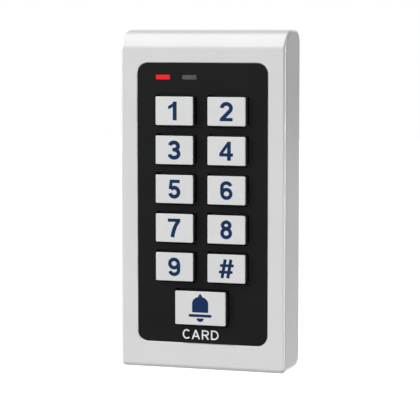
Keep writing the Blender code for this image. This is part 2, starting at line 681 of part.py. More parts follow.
make_housing()
make_faceplate()
make_window_seal()
make_keypad()
make_indicators()
make_board()
make_aerial()
make_components()
make_wire_header()
make_cover()
make_grommet()
make_tamper_window()
make_screws()
make_wall_plate()
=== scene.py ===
import json
import math

import bmesh
import bpy
from mathutils import Matrix, Vector


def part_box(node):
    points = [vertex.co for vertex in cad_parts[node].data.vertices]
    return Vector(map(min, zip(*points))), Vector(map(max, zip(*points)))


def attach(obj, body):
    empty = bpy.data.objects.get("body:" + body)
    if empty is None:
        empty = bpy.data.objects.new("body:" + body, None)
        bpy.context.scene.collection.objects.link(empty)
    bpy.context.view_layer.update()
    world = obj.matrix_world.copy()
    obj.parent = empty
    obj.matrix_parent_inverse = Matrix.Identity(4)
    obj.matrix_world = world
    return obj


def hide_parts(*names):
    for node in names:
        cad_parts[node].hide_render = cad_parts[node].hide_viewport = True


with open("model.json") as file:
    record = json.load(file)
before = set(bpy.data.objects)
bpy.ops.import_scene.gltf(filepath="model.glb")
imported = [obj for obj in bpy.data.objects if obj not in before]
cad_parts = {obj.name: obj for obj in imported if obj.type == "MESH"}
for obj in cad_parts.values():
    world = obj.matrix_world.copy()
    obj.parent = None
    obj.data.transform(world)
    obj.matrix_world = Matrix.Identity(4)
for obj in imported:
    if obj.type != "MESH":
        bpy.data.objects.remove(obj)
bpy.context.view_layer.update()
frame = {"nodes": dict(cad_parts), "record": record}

MM = 0.001
SMOOTH_ANGLE = math.radians(35)

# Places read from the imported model
HOUSING_LOW, HOUSING_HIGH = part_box("front_housing")
FRONT = HOUSING_LOW[1]
PANEL_LOW, PANEL_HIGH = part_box("faceplate")
PANEL_Z = (PANEL_LOW[2] + PANEL_HIGH[2]) / 2
PANEL_FACE = PANEL_LOW[1]

# Housing: outside, window, and the hollows behind. Depths are counted back from its front face.
CROWN_DEPTH = 12.2 * MM
CROWN_DROP = 8.8 * MM
REAR_TOP_RADIUS = 4.0 * MM
REAR_BOTTOM_DEPTH = 4.6 * MM
REAR_BOTTOM_DROP = 3.0 * MM
CHIN_DEPTH = 1.4 * MM
CHIN_DROP = 2.0 * MM
EDGE_RADIUS = 1.4 * MM
CORNER_RADIUS = 1.6 * MM
BOTTOM_CORNER_RADIUS = 2.1 * MM
CORNER_STEPS = 14
FRONT_WALL = 2.0 * MM
WINDOW_WIDTH = 60.2 * MM
WINDOW_HEIGHT = 123.9 * MM
WINDOW_RADIUS = 4.8 * MM
WINDOW_CHAMFER = 0.28 * MM
WINDOW_FLARE = 1.0 * MM
LEDGE_DEPTH = 15.0 * MM
CAVITY_HALF_WIDTH = 35.0 * MM
CAVITY_BOTTOM = -67.6 * MM
CAVITY_TOP = 67.5 * MM
POCKET_HALF_WIDTH = 36.55 * MM
POCKET_BOTTOM = -69.2 * MM
POCKET_TOP = 70.3 * MM
POCKET_RADIUS = 2.5 * MM
POCKET_END = 25.0 * MM
COVER_BOSS_X = 32.3 * MM
COVER_BOSS_TOP = 65.2 * MM
COVER_BOSS_BOTTOM = -66.0 * MM
COVER_BOSS_RADIUS = 2.8 * MM
COVER_BOSS_HOLE = 1.55 * MM
LOCK_HOLE_RADIUS = 1.3 * MM
LOCK_HOLE_TOP = -67.0 * MM
LOCK_SEAT_RADIUS = 2.2 * MM
LOCK_SEAT_TOP = -70.4 * MM
BELOW_HOUSING = -78.0 * MM
HOOK_RECESS_X = 18.0 * MM
HOOK_RECESS_Z = 69.9 * MM
HOOK_RECESS_WIDTH = 9.0 * MM
HOOK_RECESS_HEIGHT = 3.0 * MM
HOOK_RECESS_DEPTHS = (18.1 * MM, 20.1 * MM)

# Keypad panel
PANEL_FIT = 0.1 * MM
PANEL_THICKNESS = 3.6 * MM
PANEL_EDGE = 0.1 * MM
PANEL_BACK = 4.4 * MM
PANEL_LIP = 1.5 * MM
LIP_THICKNESS = 1.2 * MM
PANEL_BOSS_RADIUS = 2.0 * MM
PANEL_BOSS_HOLE = 1.3 * MM
BOARD_GAP = 0.3 * MM

# Keys and indicators: both have a wider part that sits just behind the panel
KEYS = ["key_1", "key_2", "key_3", "key_4", "key_5", "key_6", "key_7", "key_8", "key_9",
        "key_hash", "key_bell"]
BEHIND_PANEL = 4.7 * MM
FLANGE_THICKNESS = 0.8 * MM
KEY_FLANGE = 1.2 * MM
KEY_CLEARANCE = 0.8 * MM
KEY_EDGE = 0.32 * MM
KEY_FACE_THICKNESS = 0.45 * MM
KEY_CORNER = 0.55 * MM
KEY_BODY_SLIMMER = 0.16 * MM
KEY_STEM = 2.6 * MM
LENSES = ["lens_red", "lens_grey"]
LENS_WIDTH = 6.6 * MM
LENS_HEIGHT = 2.05 * MM
LENS_RADIUS = 0.35 * MM
LENS_EDGE = 0.12 * MM
LENS_COLLAR = 0.8 * MM

# Printed marks: their outlines are drawn in millimetres
PRINT_THICKNESS = 0.12
PRINT_PROUD = 0.03 * MM
STROKE = 1.72
BAR = 1.45
CARD_Z = -59.45 * MM

# Camera
CAMERA_PLACE = (268.9 * MM, -833.5 * MM, 75.3 * MM)
CAMERA_YAW = math.radians(18.10)
CAMERA_PITCH = math.radians(5.30)
CAMERA_LENS = 167.3
FLOOR_Z = -0.33


# ---------------------------------------------------------------- materials

def node(tree, kind, **inputs):
    """A new shader node with some of its sockets set."""
    made = tree.nodes.new(kind)
    for name, value in inputs.items():
        made.inputs[name.replace("_", " ")].default_value = value
    return made


def noise(tree, coordinates, scale, detail=3.0):
    made = node(tree, "ShaderNodeTexNoise", Scale=scale, Detail=detail)
    tree.links.new(coordinates, made.inputs["Vector"])
    return made.outputs["Fac"]


def ramp(tree, factor, low, high, start=0.3, end=0.7):
    """A colour that runs from low to high as the factor goes from start to end."""
    made = tree.nodes.new("ShaderNodeValToRGB")
    made.color_ramp.elements[0].position = start
    made.color_ramp.elements[0].color = (*low, 1.0)
    made.color_ramp.elements[1].position = end
    made.color_ramp.elements[1].color = (*high, 1.0)
    tree.links.new(factor, made.inputs["Fac"])
    return made.outputs["Color"]


def remap(tree, factor, low, high):
    """A noise's middle range, stretched to run from low to high."""
    made = node(tree, "ShaderNodeMapRange")
    made.inputs["From Min"].default_value = 0.3
    made.inputs["From Max"].default_value = 0.7
    made.inputs["To Min"].default_value = low
    made.inputs["To Max"].default_value = high
    tree.links.new(factor, made.inputs["Value"])
    return made.outputs["Result"]


def start_material(name):
    """A new material, its node tree and shader, and the surface's own coordinates."""
    made = bpy.data.materials.new(name)
    made.use_nodes = True
    tree = made.node_tree
    shader = tree.nodes["Principled BSDF"]
    place = tree.nodes.new("ShaderNodeTexCoord").outputs["Object"]
    return made, tree, shader, place


def bump(tree, shader, height, strength, distance):
    made = node(tree, "ShaderNodeBump", Strength=strength, Distance=distance)
    tree.links.new(height, made.inputs["Height"])
    tree.links.new(made.outputs["Normal"], shader.inputs["Normal"])


def surface(name, dark, light, roughness, metallic=0.0, mottle=60.0, grain=1500.0,
            relief=0.15, coat=0.0, specular=0.5):
    """A painted, moulded or plated surface: soft mottling, uneven gloss and a fine grain."""
    made, tree, shader, place = start_material(name)
    patches = noise(tree, place, mottle, 4.0)
    tree.links.new(ramp(tree, patches, dark, light), shader.inputs["Base Color"])
    low, high = roughness
    tree.links.new(remap(tree, noise(tree, place, mottle * 2.3), low, high),
                   shader.inputs["Roughness"])
    shader.inputs["Metallic"].default_value = metallic
    shader.inputs["Coat Weight"].default_value = coat
    shader.inputs["Specular IOR Level"].default_value = specular
    bump(tree, shader, noise(tree, place, grain, 2.0), relief, 0.02 * MM)
    return made


def lamp_material(name, colour, glow):
    """A lit light guide: brightest at its rim, with a slightly deeper band along the middle."""
    made, tree, shader, place = start_material(name)
    split = tree.nodes.new("ShaderNodeSeparateXYZ")
    tree.links.new(place, split.inputs["Vector"])
    height = node(tree, "ShaderNodeMath")
    height.operation = "ABSOLUTE"
    tree.links.new(split.outputs["Z"], height.inputs[0])
    band = node(tree, "ShaderNodeMapRange")
    band.inputs["From Min"].default_value = 0.1 * MM
    band.inputs["From Max"].default_value = 0.8 * MM
    tree.links.new(height.outputs["Value"], band.inputs["Value"])
    deep = tuple(0.8 * value for value in colour)
    tint = ramp(tree, band.outputs["Result"], deep, colour, 0.0, 1.0)
    tree.links.new(tint, shader.inputs["Base Color"])
    tree.links.new(tint, shader.inputs["Emission Color"])
    shader.inputs["Emission Strength"].default_value = glow
    shader.inputs["Roughness"].default_value = 0.35
    shader.inputs["Specular IOR Level"].default_value = 0.3
    bump(tree, shader, noise(tree, place, 900.0), 0.1, 0.02 * MM)
    return made


LOOKS = {
    "silver_paint": surface("silver_paint_look", (0.585, 0.588, 0.585), (0.605, 0.608, 0.605),
                            (0.17, 0.21), metallic=0.45, mottle=35, grain=2600, relief=0.03),
    "panel_black": surface("panel_black_look", (0.0055, 0.0058, 0.0058), (0.007, 0.0074, 0.0074),
                           (0.42, 0.5), mottle=50, grain=3000, relief=0.1, specular=0.1),
    "key_silver": surface("key_silver_look", (0.58, 0.583, 0.583), (0.60, 0.603, 0.603),
                          (0.28, 0.32), metallic=0.3, mottle=90, grain=1200, relief=0.012),
    # dark key body: partly a plausible unpainted moulding, partly painted shade on the key walls
    "key_black": surface("key_body_painted_shade_look", (0.03, 0.03, 0.031), (0.042, 0.042, 0.043),
                         (0.3, 0.4), mottle=120, grain=2500, relief=0.1),
    "navy_ink": surface("navy_ink_look", (0.0045, 0.022, 0.078), (0.006, 0.026, 0.088),
                        (0.4, 0.5), mottle=200, grain=4000, relief=0.05, specular=0.08),
    "white_ink": surface("white_ink_look", (0.72, 0.72, 0.72), (0.8, 0.8, 0.8),
                         (0.4, 0.5), mottle=200, grain=4000, relief=0.05),
    "lens_red": lamp_material("lens_red_look", (0.70, 0.002, 0.004), 0.14),
    "lens_grey": surface("lens_grey_look", (0.058, 0.060, 0.059), (0.072, 0.075, 0.074),
                         (0.2, 0.3), mottle=300, grain=1800, relief=0.05, specular=0.25),
    "led_white": surface("led_white_look", (0.7, 0.68, 0.6), (0.8, 0.78, 0.7), (0.35, 0.5)),
    "seal_rubber": surface("seal_rubber_look", (0.018, 0.018, 0.018), (0.03, 0.03, 0.03),
                           (0.7, 0.85), mottle=150, grain=1800, relief=0.3, specular=0.3),
    "board_green": surface("board_green_look", (0.012, 0.12, 0.045), (0.02, 0.16, 0.06),
                           (0.35, 0.5), mottle=250, grain=2000),
    "copper_wire": surface("copper_wire_look", (0.5, 0.2, 0.07), (0.65, 0.3, 0.11),
                           (0.3, 0.45), metallic=0.9, mottle=400, grain=3000, relief=0.4),
    "chip_black": surface("chip_black_look", (0.016, 0.016, 0.017), (0.028, 0.028, 0.03),
                          (0.5, 0.65), mottle=300, grain=2500, relief=0.3),
    "can_metal": surface("can_metal_look", (0.55, 0.55, 0.55), (0.65, 0.65, 0.65),
                         (0.25, 0.35), metallic=1.0, mottle=200, relief=0.1),
    "header_white": surface("header_white_look", (0.62, 0.6, 0.52), (0.72, 0.7, 0.62),
                            (0.4, 0.55), mottle=250, relief=0.1),
    "sensor_clear": surface("sensor_clear_look", (0.55, 0.6, 0.62), (0.62, 0.67, 0.7),
                            (0.08, 0.16), mottle=300, grain=800, relief=0.02, coat=0.5),
    "cover_grey": surface("cover_grey_look", (0.045, 0.046, 0.048), (0.065, 0.066, 0.07),
                          (0.5, 0.65), grain=1600, relief=0.35),
    "plate_zinc": surface("plate_zinc_look", (0.46, 0.48, 0.49), (0.54, 0.56, 0.575),
                          (0.28, 0.46), metallic=0.9, mottle=120, grain=900),
    "screw_steel": surface("screw_steel_look", (0.42, 0.42, 0.42), (0.55, 0.55, 0.55),
                           (0.22, 0.36), metallic=1.0, mottle=500, grain=2500, relief=0.1),
}


SOFT_EDGES = {"wall_plate": 0.2 * MM, "back_cover": 0.3 * MM, "wire_header": 0.12 * MM,
              "microcontroller": 0.1 * MM, "reader_chip": 0.15 * MM, "regulator": 0.15 * MM,
              "capacitor": 0.35 * MM, "buzzer": 0.3 * MM, "main_board": 0.1 * MM,
              "aerial_coil": 0.2 * MM, "cable_grommet": 0.25 * MM, "lock_screw": 0.1 * MM}


def soften(obj, width):
    """Rounds the sharp edges of a carried-over piece for the render."""
    edge = obj.modifiers.new("soft edge", "BEVEL")
    edge.width = width
    edge.segments = 2
    edge.limit_method = "ANGLE"
    edge.angle_limit = math.radians(40)


def carry_over():
    """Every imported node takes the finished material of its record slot."""
    slots = {part["node"]: part["material_slot"] for part in frame["record"]["subparts"]}
    for name, obj in frame["nodes"].items():
        obj.data.materials.clear()
        obj.data.materials.append(LOOKS[slots[name]])
        if name in SOFT_EDGES:
            soften(obj, SOFT_EDGES[name])


# ---------------------------------------------------------------- mesh tools

def middle(name):
    """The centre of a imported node's box."""
    low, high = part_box(name)
    return tuple((least + most) / 2 for least, most in zip(low, high))


def link(name, mesh, look, body):
    """A finished piece: it has a look, rides on a body and takes its finish from a slot."""
    made = bpy.data.objects.new(name, mesh)
    bpy.context.scene.collection.objects.link(made)
    mesh.materials.clear()
    mesh.materials.append(LOOKS[look])
    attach(made, body)
    return made


def finish_mesh(shape, name):
    bmesh.ops.recalc_face_normals(shape, faces=shape.faces)
    mesh = bpy.data.meshes.new(name)
    shape.to_mesh(mesh)
    shape.free()
    return mesh


def arc(centre_x, centre_y, radius_x, radius_y, start, end, steps):
    """Points of an elliptical arc between two angles in degrees."""
    points = []
    for step in range(steps + 1):
        angle = math.radians(start + (end - start) * step / steps)
        points.append((centre_x + radius_x * math.cos(angle),
                       centre_y + radius_y * math.sin(angle)))
    return points


def rounded_rectangle(width, height, radius, steps=8):
    across = width / 2 - radius
    up = height / 2 - radius
    outline = []
    for turn, (side_x, side_y) in enumerate([(1, 1), (-1, 1), (-1, -1), (1, -1)]):
        outline += arc(side_x * across, side_y * up, radius, radius,
                       90 * turn, 90 * turn + 90, steps)
    return outline


def loft(name, rings):
    """A closed solid through matching rings of points, with its ends filled."""
    shape = bmesh.new()
    rows = [[shape.verts.new(point) for point in ring] for ring in rings]
    count = len(rows[0])
    for first, second in zip(rows, rows[1:]):
        for index in range(count):
            following = (index + 1) % count
            shape.faces.new((first[index], first[following], second[following], second[index]))
    shape.faces.new(rows[0])
    shape.faces.new(rows[-1])
    return finish_mesh(shape, name)


def rounded_block(name, sections, x, z, steps=8):
    """A solid through rounded rectangles: sections are (y, width, height, corner radius)."""
    rings = []
    for y, width, height, radius in sections:
        outline = rounded_rectangle(width, height, radius, steps)
        rings.append([(x + across, y, z + up) for across, up in outline])
    return loft(name, rings)


def smooth(obj):
    """Smooth shading that keeps real edges sharp."""
    obj.data.shade_smooth()
    obj.data.set_sharp_from_angle(angle=SMOOTH_ANGLE)
    weighted = obj.modifiers.new("even shading", "WEIGHTED_NORMAL")
    weighted.keep_sharp = True
    weighted.weight = 100


def baked(obj):
    """The object's mesh with its modifiers applied."""
    graph = bpy.context.evaluated_depsgraph_get()
    graph.update()
    return bpy.data.meshes.new_from_object(obj.evaluated_get(graph))


def combine(mesh, steps):
    """A mesh with others cut from it or joined to it, as (operation, mesh) pairs in order."""
    target = bpy.data.objects.new("target", mesh)
    bpy.context.scene.collection.objects.link(target)
    tools = []
    for operation, tool_mesh in steps:
        tool = bpy.data.objects.new("tool", tool_mesh)
        bpy.context.scene.collection.objects.link(tool)
        tools.append(tool)
        modifier = target.modifiers.new("step", "BOOLEAN")
        modifier.operation = operation
        modifier.solver = "EXACT"
        modifier.object = tool
    result = baked(target)
    for used in [target] + tools:
        bpy.data.objects.remove(used)
    return result


def cylinder(radius, start, end, segments=32):
    """A cylinder between two points."""
    start, end = Vector(start), Vector(end)
    along = end - start
    shape = bmesh.new()
    turn = along.to_track_quat("Z", "Y").to_matrix().to_4x4()
    bmesh.ops.create_cone(shape, cap_ends=True, segments=segments, radius1=radius,
                          radius2=radius, depth=along.length,
                          matrix=Matrix.Translation((start + end) / 2) @ turn)
    return finish_mesh(shape, "cylinder")


# ---------------------------------------------------------------- housing

def side_outline(front_inset, corner_inset, bottom_inset):
    """The side outline as (y, z), drawn in at the front and at the top and bottom."""
    front = FRONT + front_inset
    back = HOUSING_HIGH[1]
    top = HOUSING_HIGH[2] - corner_inset
    bottom = HOUSING_LOW[2] + bottom_inset
    crown_depth = CROWN_DEPTH - front_inset
    chin_depth = CHIN_DEPTH - front_inset
    crown_drop = CROWN_DROP - corner_inset
    chin = arc(front + chin_depth, bottom + CHIN_DROP, chin_depth, CHIN_DROP, 270, 180, 12)
    crown = arc(front + crown_depth, top - crown_drop, crown_depth, crown_drop, 180, 90, 28)
    rear_top = arc(back - REAR_TOP_RADIUS, top - REAR_TOP_RADIUS,
                   REAR_TOP_RADIUS, REAR_TOP_RADIUS, 90, 0, 12)
    rear_bottom = arc(back - REAR_BOTTOM_DEPTH, bottom + REAR_BOTTOM_DROP,
                      REAR_BOTTOM_DEPTH, REAR_BOTTOM_DROP, 0, -90, 16)
    return chin + crown + rear_top + rear_bottom


def rounding(distance, radius):
    """How far a quarter-round edge falls away at a distance in from the side."""
    reach = max(0.0, radius - distance)
    return radius - math.sqrt(radius * radius - reach * reach)


def housing_blank():
    """The casting's outside: the side outline swept across, with rounded side edges."""
    half = HOUSING_HIGH[0]
    distances = [BOTTOM_CORNER_RADIUS * (1 - math.sin(math.radians(90 * step / CORNER_STEPS)))
                 for step in range(CORNER_STEPS + 1)]
    rings = []
    for distance in distances[::-1]:
        rings.append((distance - half, distance))
    for distance in distances:
        rings.append((half - distance, distance))
    return loft("housing", [[(x, y, z) for y, z in
                             side_outline(rounding(distance, EDGE_RADIUS),
                                          rounding(distance, CORNER_RADIUS),
                                          rounding(distance, BOTTOM_CORNER_RADIUS))]
                            for x, distance in rings])


def window_cutter():
    """The window with a narrow chamfer, which runs on past the front face."""
    grow = WINDOW_CHAMFER + WINDOW_FLARE
    sections = [(FRONT - WINDOW_FLARE, WINDOW_WIDTH + 2 * grow, WINDOW_HEIGHT + 2 * grow,
                 WINDOW_RADIUS + grow),
                (FRONT + WINDOW_CHAMFER, WINDOW_WIDTH, WINDOW_HEIGHT, WINDOW_RADIUS),
                (FRONT + 2 * FRONT_WALL, WINDOW_WIDTH, WINDOW_HEIGHT, WINDOW_RADIUS)]
    return rounded_block("window", sections, 0.0, PANEL_Z)


def hollow(half_width, low, high, start, end):
    """A rounded space between two depths behind the front face."""
    sections = [(FRONT + start, 2 * half_width, high - low, POCKET_RADIUS),
                (FRONT + end, 2 * half_width, high - low, POCKET_RADIUS)]
    return rounded_block("hollow", sections, 0.0, (low + high) / 2)


def cover_bosses():
    """The four bosses that the cover's screws go into, each with its hole."""
    steps = []
    for x in (-COVER_BOSS_X, COVER_BOSS_X):
        for z in (COVER_BOSS_TOP, COVER_BOSS_BOTTOM):
            boss = cylinder(COVER_BOSS_RADIUS, (x, FRONT + 1.5 * MM, z),
                            (x, FRONT + LEDGE_DEPTH, z))
            hole = cylinder(COVER_BOSS_HOLE, (x, FRONT + 7.5 * MM, z),
                            (x, FRONT + LEDGE_DEPTH + 2 * MM, z), 24)
            steps += [("UNION", boss), ("DIFFERENCE", hole)]
    return steps


def lock_screw_hole():
    """The counterbored hole up through the underside."""
    y = middle("lock_screw")[1]
    hole = cylinder(LOCK_HOLE_RADIUS, (0, y, BELOW_HOUSING), (0, y, LOCK_HOLE_TOP))
    seat = cylinder(LOCK_SEAT_RADIUS, (0, y, BELOW_HOUSING), (0, y, LOCK_SEAT_TOP), 40)
    return [("DIFFERENCE", hole), ("DIFFERENCE", seat)]


def hook_recesses():
    """Two slots in the pocket's top wall that drop over the wall plate's hooks."""
    sections = [(FRONT + depth, HOOK_RECESS_WIDTH, HOOK_RECESS_HEIGHT, 0.3 * MM)
                for depth in HOOK_RECESS_DEPTHS]
    return [("DIFFERENCE", rounded_block("recess", sections, x, HOOK_RECESS_Z))
            for x in (-HOOK_RECESS_X, HOOK_RECESS_X)]


def make_housing():
    cavity = hollow(CAVITY_HALF_WIDTH, CAVITY_BOTTOM, CAVITY_TOP, FRONT_WALL,
                    LEDGE_DEPTH + 0.5 * MM)
    pocket = hollow(POCKET_HALF_WIDTH, POCKET_BOTTOM, POCKET_TOP, LEDGE_DEPTH, POCKET_END)
    steps = [("DIFFERENCE", cavity), ("DIFFERENCE", pocket), ("DIFFERENCE", window_cutter())]
    steps += cover_bosses() + lock_screw_hole() + hook_recesses()
    housing = link("housing_casting", combine(housing_blank(), steps), "silver_paint", "reader")
    smooth(housing)
    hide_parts("front_housing")


# ---------------------------------------------------------------- flat shapes

def extruded(outlines, thickness, edge=0.0):
    """A flat solid about the XY plane from closed outlines; inner outlines are holes."""
    curve = bpy.data.curves.new("flat", "CURVE")
    curve.dimensions = "2D"
    curve.fill_mode = "BOTH"
    curve.extrude = thickness / 2 - edge
    curve.bevel_depth = edge
    curve.bevel_resolution = 2
    curve.offset = -edge
    for outline in outlines:
        spline = curve.splines.new("POLY")
        spline.points.add(len(outline) - 1)
        for point, (across, up) in zip(spline.points, outline):
            point.co = (across, up, 0.0, 1.0)
        spline.use_cyclic_u = True
    drawn = bpy.data.objects.new("flat", curve)
    bpy.context.scene.collection.objects.link(drawn)
    mesh = baked(drawn)
    bpy.data.objects.remove(drawn)
    shape = bmesh.new()
    shape.from_mesh(mesh)
    size = max(max(abs(across), abs(up)) for across, up in outlines[0])
    bmesh.ops.remove_doubles(shape, verts=shape.verts, dist=size * 1e-5)
    return finish_mesh(shape, "flat")


def upright(mesh, x, y, z, scale=1.0):
    """Stands a flat XY mesh up to face the front, at a place in the reader."""
    mesh.transform(Matrix.Translation((x, y, z)) @ Matrix.Rotation(math.pi / 2, 4, "X")
                   @ Matrix.Scale(scale, 4))
    return mesh


def shifted(outline, x, z):
    return [(across + x, up + z) for across, up in outline]


# ---------------------------------------------------------------- keypad panel

def cap_size(name):
    """A key's centre x and z and its cap's width and height."""
    low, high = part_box(name)
    x, _, z = middle(name)
    width = high[0] - low[0] - 2 * KEY_FLANGE
    height = high[2] - low[2] - 2 * KEY_FLANGE
    return x, z, width, height


def panel_openings(key_radius):
    """The outlines of the openings for the keys and the indicators."""
    openings = []
    for name in KEYS:
        x, z, width, height = cap_size(name)
        openings.append(shifted(rounded_rectangle(width + 2 * KEY_CLEARANCE,
                                                  height + 2 * KEY_CLEARANCE, key_radius, 5),
                                x, z - PANEL_Z))
    for name in LENSES:
        x, _, z = middle(name)
        openings.append(shifted(rounded_rectangle(LENS_WIDTH + PANEL_FIT, LENS_HEIGHT + PANEL_FIT,
                                                  LENS_RADIUS, 4), x, z - PANEL_Z))
    return openings


def panel_bosses(back):
    """The four bosses behind the panel that the board is screwed to, each with its hole."""
    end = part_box("main_board")[0][1] - BOARD_GAP
    steps = []
    for number in range(1, 5):
        x, _, z = middle(f"board_screw_{number}")
        boss = cylinder(PANEL_BOSS_RADIUS, (x, back - 0.5 * MM, z), (x, end, z))
        hole = cylinder(PANEL_BOSS_HOLE, (x, back, z), (x, end + 1 * MM, z), 20)
        steps += [("UNION", boss), ("DIFFERENCE", hole)]
    return steps


def make_panel():
    """The black panel with rounded key openings, and the lip and bosses behind it."""
    outline = rounded_rectangle(WINDOW_WIDTH - 2 * PANEL_FIT, WINDOW_HEIGHT - 2 * PANEL_FIT,
                                WINDOW_RADIUS - PANEL_FIT, 10)
    flat = extruded([outline] + panel_openings(0.9 * MM), PANEL_THICKNESS, PANEL_EDGE)
    panel = link("panel_face", upright(flat, 0.0, PANEL_FACE + PANEL_THICKNESS / 2, PANEL_Z),
                 "panel_black", "reader")
    smooth(panel)
    back = FRONT + PANEL_BACK
    outline = rounded_rectangle(WINDOW_WIDTH + 2 * PANEL_LIP, WINDOW_HEIGHT + 2 * PANEL_LIP,
                                WINDOW_RADIUS + PANEL_LIP, 10)
    flat = extruded([outline] + panel_openings(0.6 * MM), LIP_THICKNESS)
    lip = upright(flat, 0.0, back - LIP_THICKNESS / 2, PANEL_Z)
    rim = link("panel_frame", combine(lip, panel_bosses(back)), "panel_black", "reader")
    smooth(rim)
    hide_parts("faceplate")
    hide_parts("faceplate")


# ---------------------------------------------------------------- indicators

def make_indicators():
    """Two light guides with softly rounded faces, level with the panel.

    Each one's origin is at its own height, because the lit one's material starts from there.
    """
    width, height, edge = LENS_WIDTH, LENS_HEIGHT, LENS_EDGE
    wide, tall = width + 2 * LENS_COLLAR, height + 2 * LENS_COLLAR
    front = PANEL_FACE - 0.02 * MM
    collar = FRONT + BEHIND_PANEL
    collar_back = collar + FLANGE_THICKNESS
    for name in LENSES:
        x, _, z = middle(name)
        sections = [(front, width - 2 * edge, height - 2 * edge, LENS_RADIUS - edge),
                    (front + edge / 2, width - edge / 2, height - edge / 2, LENS_RADIUS),
                    (front + edge, width, height, LENS_RADIUS),
                    (collar, width, height, LENS_RADIUS),
                    (collar, wide, tall, LENS_RADIUS),
                    (collar_back, wide, tall, LENS_RADIUS),
                    (collar_back, width, height, LENS_RADIUS),
                    (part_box(name)[1][1], width, height, LENS_RADIUS)]
        guide = link(f"{name}_guide", rounded_block(name, sections, 0.0, 0.0), name, "reader")
        guide.location = (x, 0.0, z)
        smooth(guide)
        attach(guide, "reader")
        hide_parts(name)


# ---------------------------------------------------------------- keys

def key_face_sections(front, width, height):
    """A thin plate whose front edge is a quarter round."""
    sections = []
    for step in range(5):
        angle = math.radians(90 * step / 4)
        drawn_in = KEY_EDGE * (1 - math.sin(angle))
        sections.append((front + KEY_EDGE * (1 - math.cos(angle)), width - 2 * drawn_in,
                         height - 2 * drawn_in, KEY_CORNER - drawn_in))
    sections.append((front + KEY_FACE_THICKNESS, width, height, KEY_CORNER))
    return sections


def key_moulding_sections(low, high, width, height):
    """The key's body behind its face: the cap, the flange behind the panel and the stem."""
    cap_width = width - KEY_BODY_SLIMMER
    cap_height = height - KEY_BODY_SLIMMER
    flange_width = high[0] - low[0]
    flange_height = high[2] - low[2]
    flange = FRONT + BEHIND_PANEL
    flange_back = flange + FLANGE_THICKNESS
    stem_radius = KEY_STEM / 2 - 0.001 * MM
    return [(low[1] + KEY_FACE_THICKNESS, cap_width, cap_height, KEY_CORNER),
            (flange, cap_width, cap_height, KEY_CORNER),
            (flange, flange_width, flange_height, KEY_CORNER),
            (flange_back, flange_width, flange_height, KEY_CORNER),
            (flange_back, KEY_STEM, KEY_STEM, stem_radius),
            (high[1], KEY_STEM, KEY_STEM, stem_radius)]


def make_key(name):
    """A dark moulded key body with a silver face whose edges are rounded over; the body's dark
    colour is partly a plausible unpainted moulding and partly painted shade on the key walls.
    """
    body = f"{name}_press"
    x, z, width, height = cap_size(name)
    low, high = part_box(name)
    sections = key_face_sections(low[1], width, height)
    face = link(f"{name}_face", rounded_block(name, sections, x, z, 5), "key_silver", body)
    smooth(face)
    sections = key_moulding_sections(low, high, width, height)
    moulding = link(f"{name}_moulding", rounded_block(name, sections, x, z, 5), "key_black",
                    body)
    smooth(moulding)
    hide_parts(name)
    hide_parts(name)


# ---------------------------------------------------------------- printed marks, in millimetres

def ribbon(points, width):
    """The outline of a stroke of even width along a line of points, with square ends."""
    left, right = [], []
    last = len(points) - 1
    for index, point in enumerate(points):
        here = Vector(point)
        before = (here - Vector(points[index - 1])).normalized() if index else None
        after = (Vector(points[index + 1]) - here).normalized() if index < last else None
        along = (before or after) + (after or before)
        along.normalize()
        side = Vector((-along.y, along.x))
        reach = width / 2 / max(0.4, along.dot(after or before))
        left.append(tuple(here + side * reach))
        right.append(tuple(here - side * reach))
    return left + right[::-1]


def loop(centre_x, centre_y, radius_x, radius_y, width):
    """An oval ring as an outer and an inner outline."""
    half = width / 2
    outer = arc(centre_x, centre_y, radius_x + half, radius_y + half, 0, 360, 40)[:-1]
    inner = arc(centre_x, centre_y, radius_x - half, radius_y - half, 0, 360, 40)[:-1]
    return [outer, inner]


def curve_through(start, pull, end, steps=10):
    """Points of a curve from start to end that leans towards pull."""
    points = []
    for step in range(steps + 1):
        t = step / steps
        points.append(tuple((1 - t) ** 2 * a + 2 * t * (1 - t) * b + t ** 2 * c
                            for a, b, c in zip(start, pull, end)))
    return points


